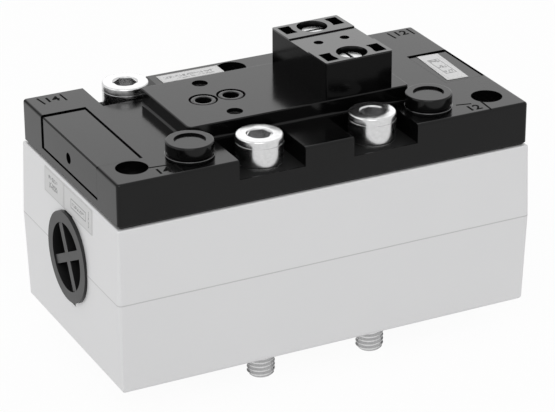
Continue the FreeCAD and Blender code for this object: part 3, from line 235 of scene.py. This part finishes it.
zincSteel = {
    "light": grey(0.74), "dull": grey(0.54, 0.01), "hidden": grey(0.34),
    "clouds": (900, 4.0, 0.65), "turned": (900, 2.0, 0.5, (1, 1, 14)), "bump": (0.06, 0.02 * mm),
    "roughness": 0.17, "cloudRoughness": 0.09, "turnedRoughness": 0.05,
    # sockets and slots, whose walls are painted darker as painted shade: axis, radius, the levels between
    # which their walls lie, and their share
    "recesses": [((17.5, -25.5), 3.5, 61.0, 65.3, 0.25), ((35.0, 25.5), 3.5, 61.0, 65.3, 0.25),
                 ((18.05, 11.4), 4.0, 75.2, 76.42, 0.7), ((18.05, -11.4), 4.0, 75.2, 76.42, 0.7)],
}


def makeZincSteel():
    finish = Finish("zincSteel", Metallic=1.0)
    clouds, turned = finish.noise(*zincSteel["clouds"]), finish.noise(*zincSteel["turned"])
    # painted shade: the walls of the sockets and slots take the darker shade colour by their share
    inside = None
    for (x, y), radius, low, high, share in zincSteel["recesses"]:
        dx, dy = abs(finish.x) - x * mm, finish.y - y * mm
        near = dx * dx + dy * dy < (radius * mm) ** 2
        part = near * (finish.z > low * mm) * (finish.z < high * mm) * share
        inside = part if inside is None else inside.atLeast(part)
    plain = finish.mix(clouds, zincSteel["dull"], zincSteel["light"])
    finish.give("Base Color", finish.mix(inside, plain, zincSteel["hidden"]))
    finish.give("Roughness", zincSteel["roughness"] + clouds * zincSteel["cloudRoughness"]
                + turned * zincSteel["turnedRoughness"])
    finish.give("Normal", finish.bump(turned, *zincSteel["bump"]))
    return finish.material


# Plain finishes: two colours mixed by a noise, which also spreads the roughness, and a fine relief
# that has the same noise where no other is given

turnedRings = {"tone": (300, 2.0), "relief": (1500, 2.0, 0.5, (8, 1, 1)), "bump": (0.08, 0.02 * mm),
               "spread": 0.08, "shader": {"Metallic": 1.0}}

plainFinishes = {
    "mattBlack": {
        "colours": (grey(0.002), grey(0.008)), "tone": (2200, 2.0), "roughness": 0.85, "spread": 0.1,
        "bump": (0.1, 0.02 * mm), "shader": {"Specular_IOR_Level": 0.05}},
    "satinMoulding": {
        "colours": (grey(0.006, 0.03), grey(0.011, 0.02)), "tone": (120, 2.0), "relief": (2400, 2.0, 0.6),
        "roughness": 0.34, "spread": 0.10, "bump": (0.2, 0.04 * mm), "shader": {"IOR": 1.42}},
    "nitrileRubber": {
        "colours": (grey(0.012), grey(0.022)), "tone": (1500, 2.0), "roughness": 0.55, "spread": 0.15,
        "bump": (0.15, 0.05 * mm), "shader": {"Specular_IOR_Level": 0.35}},
    "bearingPlastic": {
        "colours": ((0.72, 0.71, 0.66, 1), (0.78, 0.77, 0.73, 1)), "tone": (800, 2.0),
        "roughness": 0.38, "spread": 0.1, "bump": (0.08, 0.04 * mm), "shader": {}},
    "springSteel": {"colours": (grey(0.40), grey(0.52)), "roughness": 0.28, **turnedRings},
    "turnedAluminium": {"colours": (grey(0.62), grey(0.70)), "roughness": 0.24, **turnedRings},
    "insertSteel": {"colours": (grey(0.30), grey(0.42)), "roughness": 0.3, **turnedRings},
    "blackenedSteel": {"colours": (grey(0.09), grey(0.14)), "roughness": 0.16, **turnedRings},
}


def makePlain(name, make):
    finish = Finish(name, **make["shader"])
    tone = finish.noise(*make["tone"])
    relief = finish.noise(*make["relief"]) if "relief" in make else tone
    finish.give("Base Color", finish.mix(tone, *make["colours"]))
    finish.give("Roughness", make["roughness"] + tone * make["spread"])
    finish.give("Normal", finish.bump(relief, *make["bump"]))
    return finish.material


def boxMask(finish, across, along, centre, half, line=None):
    # 1 inside a rectangle of a label's plane, or only along its outline
    away = (abs(across - centre[0]) - half[0]).atLeast(abs(along - centre[1]) - half[1])
    if line is None:
        return away < 0
    return abs(away) < line


labelFilm = {
    "print": grey(0.16, 0.02), "line": 0.14 * mm, "inkShare": 0.75, "edgeShare": 0.22, "faded": 0.93,
    "clouds": (500, 2.0), "specks": (1500, 1.0), "speckLevel": 0.5,
    "roughness": 0.4, "spread": 0.1, "bump": (0.1, 0.03 * mm),
}


def makeLabelFilm(name, plane, paper, outline, frames, rows):
    # a bare film label: plain printed boxes and rows of rubbed specks, and no lettering
    finish = Finish(name, Specular_IOR_Level=0.35)
    axes = {"x": finish.x, "y": finish.y, "z": finish.z}
    u, v = axes[plane[0]], axes[plane[1]]
    clouds = finish.noise(*labelFilm["clouds"])
    specks = finish.noise(*labelFilm["specks"]) > labelFilm["speckLevel"]
    edges = ink = 0 * clouds
    for centre, half in outline:
        edges = edges.atLeast(boxMask(finish, u, v, centre, half, labelFilm["line"]))
    for centre, half in frames:
        ink = ink.atLeast(boxMask(finish, u, v, centre, half, labelFilm["line"]))
    for centre, half in rows:
        ink = ink.atLeast(boxMask(finish, u, v, centre, half) * specks)
    share = (ink * labelFilm["inkShare"]).atLeast(edges * labelFilm["edgeShare"])
    tone = finish.mix(clouds, grey(paper * labelFilm["faded"]), grey(paper))
    finish.give("Base Color", finish.mix(share, tone, labelFilm["print"]))
    finish.give("Roughness", labelFilm["roughness"] + clouds * labelFilm["spread"])
    finish.give("Normal", finish.bump(clouds, *labelFilm["bump"]))
    return finish.material


def placed(*pairs):
    # millimetres on a label into metres
    return [tuple(tuple(value * mm for value in point) for point in pair) for pair in pairs]


finishes = {
    "castMetal": makeCastMetal(),
    "blackMoulding": makeBlackMoulding("blackMoulding", blackMoulding["ior"]),
    "blockMoulding": makeBlackMoulding(
        "blockMoulding", blackMoulding["blockIor"], blackMoulding["blockGloss"]),
    "zincSteel": makeZincSteel(),
}
for name, make in plainFinishes.items():
    finishes[name] = makePlain(name, make)
print("materials made:", len(finishes))

nodeFinishes = {
    "castMetal": ["valve_body"],
    "blackMoulding": ["top_cover", "left_override_button", "right_override_button",
                      "left_end_insert", "right_end_insert"],
    "blockMoulding": ["pilot_block"],
    "satinMoulding": ["left_end_cap", "right_end_cap"],
    "zincSteel": ["mounting_screws", "cover_screws", "screw_sleeves", "pilot_block_screws"],
    "springSteel": ["return_spring", "left_button_spring", "right_button_spring",
                    "left_button_clip", "right_button_clip"],
    "turnedAluminium": ["spool", "left_piston", "right_piston"],
    "insertSteel": ["pilot_inserts"],
    "bearingPlastic": ["left_stack_retainer", "right_stack_retainer"],
    "nitrileRubber": ["left_piston_seal", "right_piston_seal", "left_cap_ring", "right_cap_ring",
                      "cover_gasket", "base_gasket", "base_pilot_rings", "pilot_block_rings",
                      "left_button_ring", "right_button_ring"],
}
nodeFinishes["bearingPlastic"] += [name for name in nodes if name.startswith("spool_cage")]
nodeFinishes["nitrileRubber"] += [name for name in nodes if name.startswith("spool_seal")]


def dress(name, material):
    mesh = nodes[name].data
    mesh.materials.clear()
    mesh.materials.append(material)


for finishName, names in nodeFinishes.items():
    for name in names:
        dress(name, finishes[finishName])

# each label's plane, its paper, and its outline, printed frames and printed rows: centre and half size
labels = {
    "rear_label": ("xy", 0.74, placed(((-13.1, 28.6), (9.3, 2.5))), [],
                   placed(((-13.4, 28.9), (8.0, 0.7)), ((-12.0, 27.2), (6.0, 0.35)))),
    "right_label": ("xy", 0.75, placed(((55.0, 0.5), (3.0, 9.4))), placed(((55.0, 0.8), (1.7, 5.6))),
                    placed(((55.0, -3.6), (1.5, 1.1)), ((54.8, 0.6), (1.3, 1.0)), ((55.0, 5.2), (1.5, 1.1)))),
    "rear_end_label": ("yz", 0.66, placed(((10.1, 44.6), (6.7, 3.5))), [],
                       placed(((11.0, 46.2), (3.3, 0.6)), ((10.6, 44.0), (3.0, 0.9)))),
    "front_end_label": ("yz", 0.66, placed(((-7.1, 44.6), (9.6, 3.5))), placed(((-7.4, 44.6), (5.2, 1.3))),
                        placed(((-7.4, 44.6), (4.4, 0.5)), ((-14.6, 44.6), (0.25, 2.4)))),
}
for name, settings in labels.items():
    dress(name, makeLabelFilm(name.replace("_", ""), *settings))
print("nodes dressed")


# Ways of modelling that the pieces share

def deselectAll():
    if bpy.context.object and bpy.context.object.mode != "OBJECT":
        bpy.ops.object.mode_set(mode="OBJECT")
    bpy.ops.object.select_all(action="DESELECT")


def choose(piece):
    deselectAll()
    piece.select_set(True)
    bpy.context.view_layer.objects.active = piece


def applyPlace():
    bpy.ops.object.transform_apply(location=True, rotation=True, scale=True)


def addDrum(name, radius, low, high, sides=96, x=0.0, y=0.0, topRadius=None):
    # a cylinder between two levels, or a cone where the top has a radius of its own
    deselectAll()
    place = (x, y, (low + high) / 2)
    if topRadius is None:
        bpy.ops.mesh.primitive_cylinder_add(
            vertices=sides, radius=radius, depth=high - low, location=place)
    else:
        bpy.ops.mesh.primitive_cone_add(
            vertices=sides, radius1=radius, radius2=topRadius, depth=high - low, location=place)
    made = bpy.context.object
    made.name = name
    applyPlace()
    return made


def carve(piece, cutter, operation="DIFFERENCE"):
    choose(piece)
    modifier = piece.modifiers.new("carve", "BOOLEAN")
    modifier.object = cutter
    modifier.operation = operation
    modifier.solver = "EXACT"
    bpy.ops.object.modifier_apply(modifier=modifier.name)
    bpy.data.objects.remove(cutter)


def soften(piece, width, segments=3, angle=35):
    choose(piece)
    modifier = piece.modifiers.new("soften", "BEVEL")
    modifier.width = width
    modifier.segments = segments
    modifier.limit_method = "ANGLE"
    modifier.angle_limit = math.radians(angle)
    modifier.harden_normals = False
    bpy.ops.object.modifier_apply(modifier=modifier.name)


def joinPieces(pieces, name):
    deselectAll()
    for piece in pieces:
        piece.select_set(True)
    bpy.context.view_layer.objects.active = pieces[0]
    bpy.ops.object.join()
    made = bpy.context.object
    made.name = name
    return made


def smoothed(piece, angle=32):
    choose(piece)
    bpy.ops.object.shade_smooth_by_angle(angle=math.radians(angle))


def copyTo(piece, x, y, turn=0.0):
    choose(piece)
    bpy.ops.object.duplicate()
    made = bpy.context.object
    made.rotation_euler[2] = turn
    made.location = (x, y, 0)
    applyPlace()
    return made


def settle(piece, body, material, replaced=()):
    # gives a finished piece its material and its body
    piece.data.materials.clear()
    piece.data.materials.append(material)
    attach(piece, body)
    if replaced:
        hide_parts(*replaced)
    return piece


# Fixing screws: socket heads, and a real thread where the tips stand out below

screwMake = {
    # x, y and the turn of the socket
    "places": [(-17.5, -25.5, 0.35), (17.5, -25.5, 0.9), (-35.0, 25.5, 0.1), (35.0, 25.5, 0.6)],
    "seat": 57.4, "headTop": 65.4, "headRadius": 6.65, "headEdge": 0.45,
    "rimGroove": (63.2, 63.45), "grooveRadius": 6.5,
    "socketAcross": 6.0, "socketDepth": 4.0, "mouthDepth": 0.35, "mouthIn": 0.1, "mouthOut": 0.3,
    "shankRadius": 4.0, "rootRadius": 3.25, "pitch": 1.25, "threadTop": 6.0,
    "tip": -8.6, "tipChamfer": 0.9, "weld": 0.02, "stepsPerTurn": 40,
    # the thread's outline over one pitch
    "outline": [("rootRadius", 0.0), ("rootRadius", 0.125), ("shankRadius", 0.44),
                ("shankRadius", 0.56), ("rootRadius", 0.875), ("rootRadius", 1.0)],
}


def makeThread():
    # one pitch of the thread's outline, wound as a screw, then trimmed to its length and its chamfer
    pitch = screwMake["pitch"] * mm
    start = (screwMake["tip"] - 2 * screwMake["pitch"]) * mm
    turns = int((screwMake["threadTop"] - screwMake["tip"]) / screwMake["pitch"]) + 4
    mesh = bpy.data.meshes.new("thread")
    points = [(screwMake[radius] * mm, 0, start + share * pitch) for radius, share in screwMake["outline"]]
    mesh.from_pydata(points, [(i, i + 1) for i in range(len(points) - 1)], [])
    thread = bpy.data.objects.new("thread", mesh)
    bpy.context.scene.collection.objects.link(thread)
    choose(thread)
    modifier = thread.modifiers.new("wind", "SCREW")
    modifier.angle = 2 * math.pi
    modifier.screw_offset = pitch
    modifier.iterations = turns
    modifier.steps = modifier.render_steps = screwMake["stepsPerTurn"]
    modifier.use_merge_vertices = False
    bpy.ops.object.modifier_apply(modifier=modifier.name)
    bpy.ops.object.mode_set(mode="EDIT")
    bpy.ops.mesh.select_all(action="SELECT")
    bpy.ops.mesh.remove_doubles(threshold=screwMake["weld"] * mm)
    for level, up in ((screwMake["threadTop"], 1), (screwMake["tip"], -1)):
        bpy.ops.mesh.select_all(action="SELECT")
        bpy.ops.mesh.bisect(
            plane_co=(0, 0, level * mm), plane_no=(0, 0, up), use_fill=True, clear_outer=True)
    bpy.ops.mesh.select_all(action="SELECT")
    bpy.ops.mesh.normals_make_consistent(inside=False)
    bpy.ops.object.mode_set(mode="OBJECT")
    # the envelope is a little wider than the thread, so its chamfer is deeper by as much
    spare = 0.5
    envelope = addDrum("envelope", (screwMake["shankRadius"] + spare) * mm,
                       (screwMake["tip"] - 0.001) * mm, (screwMake["threadTop"] + 1) * mm, 64)
    soften(envelope, (screwMake["tipChamfer"] + spare) * mm, 1)
    carve(thread, envelope, "INTERSECT")
    return thread


def makeScrews():
    top, seat = screwMake["headTop"], screwMake["seat"]
    head = addDrum("head", screwMake["headRadius"] * mm, seat * mm, top * mm, 128)
    soften(head, screwMake["headEdge"] * mm, 3, 60)
    low, high = screwMake["rimGroove"]
    ring = addDrum("ring", (screwMake["headRadius"] + 1) * mm, low * mm, high * mm, 128)
    core = addDrum("core", screwMake["grooveRadius"] * mm, (low - 1) * mm, (high + 1) * mm, 128)
    carve(ring, core)
    carve(head, ring)
    corner = screwMake["socketAcross"] / math.sqrt(3)
    socket = addDrum("socket", corner * mm, (top - screwMake["socketDepth"]) * mm, (top + 1) * mm, 6)
    carve(head, socket)
    mouth = addDrum("mouth", (corner - screwMake["mouthIn"]) * mm, (top - screwMake["mouthDepth"]) * mm,
                    (top + 0.05) * mm, 64, topRadius=(corner + screwMake["mouthOut"]) * mm)
    carve(head, mouth)
    shank = addDrum("shank", screwMake["shankRadius"] * mm, screwMake["threadTop"] * mm, seat * mm, 64)
    smoothed(head, 30)
    smoothed(shank, 30)
    thread = makeThread()
    smoothed(thread, 25)
    pattern = joinPieces([head, shank, thread], "fixingScrew")
    copies = [copyTo(pattern, x * mm, y * mm, turn) for x, y, turn in screwMake["places"]]
    bpy.data.objects.remove(pattern)
    screws = joinPieces(copies, "fixingScrews")
    settle(screws, "housing", finishes["zincSteel"], ["mounting_screws"])
    print("fixing screws made:", len(screws.data.polygons), "faces")


makeScrews()


# Springs: round wire, each wound from its fixed end along its way

coilMake = {"wireSides": 12, "stepsPerTurn": 36, "slack": 0.02}
buttonCoil = {"travel": 1.0, "radius": 4.95, "wire": 0.5, "turns": 2.5, "length": 2.8, "way": (0, 0, 1)}
springMake = [
    {"name": "returnCoil", "node": "return_spring", "joint": "spool_shift", "travel": 6.0, "radius": 3.5,
     "wire": 1.0, "turns": 7, "length": 22.9, "way": (-1, 0, 0), "fixed": (56.15, 0.0, 27.3)},
    {"name": "leftButtonCoil", "node": "left_button_spring", "joint": "left_button_press",
     "fixed": (-37.0, -22.7, 56.1), **buttonCoil},
    {"name": "rightButtonCoil", "node": "right_button_spring", "joint": "right_button_press",
     "fixed": (37.0, -22.7, 56.1), **buttonCoil},
]


def makeSpring(spring):
    # a circle of wire wound up the z axis from the fixed end, then laid along its own way
    slack, half = coilMake["slack"], spring["wire"] / 2
    rise = spring["length"] - spring["wire"] - 2 * slack
    deselectAll()
    bpy.ops.mesh.primitive_circle_add(
        vertices=coilMake["wireSides"], radius=half * mm,
        location=(spring["radius"] * mm, 0, (half + slack) * mm), rotation=(math.radians(90), 0, 0))
    applyPlace()
    coil = bpy.context.object
    coil.name = spring["name"]
    modifier = coil.modifiers.new("wind", "SCREW")
    modifier.angle = 2 * math.pi * spring["turns"]
    modifier.screw_offset = rise * mm
    modifier.steps = modifier.render_steps = int(coilMake["stepsPerTurn"] * spring["turns"])
    modifier.use_merge_vertices = False
    bpy.ops.object.modifier_apply(modifier=modifier.name)
    bpy.ops.object.mode_set(mode="EDIT")
    bpy.ops.mesh.select_all(action="SELECT")
    bpy.ops.mesh.fill_holes(sides=coilMake["wireSides"])
    bpy.ops.mesh.normals_make_consistent(inside=False)
    bpy.ops.object.mode_set(mode="OBJECT")
    way = Vector(spring["way"])
    coil.rotation_euler = way.to_track_quat("Z", "Y").to_euler()
    coil.location = Vector(spring["fixed"]) * mm
    applyPlace()
    smoothed(coil, 60)
    settle(coil, "housing", finishes["springSteel"], [spring["node"]])
    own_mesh(coil)


for spring in springMake:
    makeSpring(spring)
print("springs made:", len(springMake))


# Corner marks: plain port numbers between short strokes, matt in the glossy moulding

markMake = {
    "level": 62.3, "proud": 0.03, "sunk": 0.02, "fontSize": 4.48, "fatten": 0.1, "stroke": 0.55,
    "numbers": [("14", -56.0, 29.2), ("12", 57.4, 29.8), ("14", -48.4, -30.3), ("12", 47.4, -30.4)],
    # strokes from one end to the other, on the cover's top face
    "strokes": [((-59.6, 31.7), (-59.0, 26.8)), ((-52.6, 31.7), (-52.4, 26.9)),
                ((53.8, 31.6), (54.2, 27.0)), ((60.8, 32.3), (61.0, 27.6)),
                ((-51.3, -26.7), (-45.0, -27.4)), ((-43.9, -28.0), (-43.7, -32.9)),
                ((43.9, -26.4), (48.3, -27.4)), ((51.6, -27.0), (51.2, -33.4))],
}


def makeMarks():
    thick = (markMake["proud"] + markMake["sunk"]) * mm
    middle = (markMake["level"] + (markMake["proud"] - markMake["sunk"]) / 2) * mm
    parts = []
    for number, x, y in markMake["numbers"]:
        deselectAll()
        bpy.ops.object.text_add(location=(x * mm, y * mm, middle))
        digits = bpy.context.object.data
        digits.body = number
        digits.size = markMake["fontSize"] * mm
        digits.align_x = digits.align_y = "CENTER"
        digits.extrude = thick / 2
        digits.offset = markMake["fatten"] * mm
        digits.resolution_u = 6
        bpy.ops.object.convert(target="MESH")
        parts.append(bpy.context.object)
    for first, last in markMake["strokes"]:
        across, along = last[0] - first[0], last[1] - first[1]
        deselectAll()
        bpy.ops.mesh.primitive_cube_add(size=1, location=(
            (first[0] + last[0]) / 2 * mm, (first[1] + last[1]) / 2 * mm, middle))
        stroke = bpy.context.object
        stroke.scale = (math.hypot(across, along) * mm, markMake["stroke"] * mm, thick)
        stroke.rotation_euler[2] = math.atan2(along, across)
        parts.append(stroke)
    for part in parts:
        choose(part)
        applyPlace()
    marks = joinPieces(parts, "cornerMarks")
    settle(marks, "housing", finishes["mattBlack"])
    print("corner marks made")


makeMarks()


# Open pilot station: a collar stands in each ring seat, round the air port

collarMake = {
    "places": [(-22.3, 0.0), (-13.8, 0.0)], "low": 65.5, "high": 66.56,
    "outer": 3.62, "inner": 2.3, "edge": 0.25,
}


def makeCollars():
    low, high = collarMake["low"] * mm, collarMake["high"] * mm
    collars = []
    for x, y in collarMake["places"]:
        collar = addDrum("collar", collarMake["outer"] * mm, low, high, 64, x * mm, y * mm)
        port = addDrum("port", collarMake["inner"] * mm, low - mm, high + mm, 48, x * mm, y * mm)
        carve(collar, port)
        soften(collar, collarMake["edge"] * mm, 3, 50)
        collars.append(collar)
    made = joinPieces(collars, "stationCollars")
    smoothed(made, 35)
    settle(made, "housing", finishes["blackMoulding"])
    print("station collars made")


makeCollars()


# Rings at the foot of the override buttons, each half sunk in the mouth of its well

footRingMake = {"places": [(-37.0, -22.7), (37.0, -22.7)], "radius": 6.8, "section": 0.17, "level": 62.3}


def makeFootRings():
    rings = []
    for x, y in footRingMake["places"]:
        deselectAll()
        bpy.ops.mesh.primitive_torus_add(
            location=(x * mm, y * mm, footRingMake["level"] * mm), major_segments=96, minor_segments=12,
            major_radius=footRingMake["radius"] * mm, minor_radius=footRingMake["section"] * mm)
        applyPlace()
        rings.append(bpy.context.object)
    made = joinPieces(rings, "buttonFootRings")
    smoothed(made, 60)
    settle(made, "housing", finishes["blackenedSteel"])
    print("button foot rings made")


makeFootRings()


# Floor, lamps and the white that stands round the product

stageMake = {
    "floorLevel": -8.6, "floorSize": 6, "floorTone": grey(0.88), "floorRoughness": 0.9, "floorWhite": 0.95,
    "ground": grey(0.62), "white": (1, 1, 1, 1),
}


def whiteOnRays(tree, rays, share, plain, white, output):
    # on the named kinds of ray the white shader stands in for the plain one, by its share
    path = tree.nodes.new("ShaderNodeLightPath")
    factor = path.outputs[rays[0]]
    for ray in rays[1:]:
        either = tree.nodes.new("ShaderNodeMath")
        either.operation = "MAXIMUM"
        tree.links.new(factor, either.inputs[0])
        tree.links.new(path.outputs[ray], either.inputs[1])
        factor = either.outputs[0]
    if share < 1:
        part = tree.nodes.new("ShaderNodeMath")
        part.operation = "MULTIPLY"
        part.inputs[1].default_value = share
        tree.links.new(factor, part.inputs[0])
        factor = part.outputs[0]
    blend = tree.nodes.new("ShaderNodeMixShader")
    tree.links.new(factor, blend.inputs[0])
    tree.links.new(plain.outputs[0], blend.inputs[1])
    tree.links.new(white.outputs[0], blend.inputs[2])
    tree.links.new(blend.outputs[0], tree.nodes[output].inputs["Surface"])


def makeFloor():
    deselectAll()
    bpy.ops.mesh.primitive_plane_add(
        size=stageMake["floorSize"], location=(0, 0, stageMake["floorLevel"] * mm))
    floor = bpy.context.object
    floor.name = "floor"
    material = bpy.data.materials.new("paleFloor")
    material.use_nodes = True
    tree = material.node_tree
    shader = tree.nodes["Principled BSDF"]
    shader.inputs["Base Color"].default_value = stageMake["floorTone"]
    shader.inputs["Roughness"].default_value = stageMake["floorRoughness"]
    shader.inputs["Specular IOR Level"].default_value = 0
    glow = tree.nodes.new("ShaderNodeEmission")
    rays = ["Is Camera Ray", "Is Glossy Ray"]
    whiteOnRays(tree, rays, stageMake["floorWhite"], shader, glow, "Material Output")
    floor.data.materials.append(material)


def makeWorld():
    world = bpy.data.worlds.new("studio")
    bpy.context.scene.world = world
    world.use_nodes = True
    tree = world.node_tree
    ground = tree.nodes["Background"]
    ground.inputs["Color"].default_value = stageMake["ground"]
    white = tree.nodes.new("ShaderNodeBackground")
    white.inputs["Color"].default_value = stageMake["white"]
    rays = ["Is Camera Ray", "Is Glossy Ray", "Is Transmission Ray"]
    whiteOnRays(tree, rays, 1, ground, white, "World Output")


lampAim = Vector((0, 0, 0.03))
lamps = [
    {"name": "keyLamp", "from": (-0.5, -0.9, 1.1), "size": 0.9, "watts": 5.0},
    {"name": "fillLamp", "from": (-1.1, 0.1, 0.7), "size": 0.9, "watts": 1.4},
    {"name": "sheenLamp", "from": (0.62, 1.22, 0.72), "size": 1.2, "watts": 2.6},
]


def makeLamps():
    for lamp in lamps:
        light = bpy.data.lights.new(lamp["name"], "AREA")
        light.shape = "SQUARE"
        light.size = lamp["size"]
        light.energy = lamp["watts"]
        made = bpy.data.objects.new(lamp["name"], light)
        made.location = lamp["from"]
        made.rotation_euler = (lampAim - Vector(lamp["from"])).to_track_quat("-Z", "Y").to_euler()
        bpy.context.scene.collection.objects.link(made)


makeFloor()
makeWorld()
makeLamps()
print("stage set")
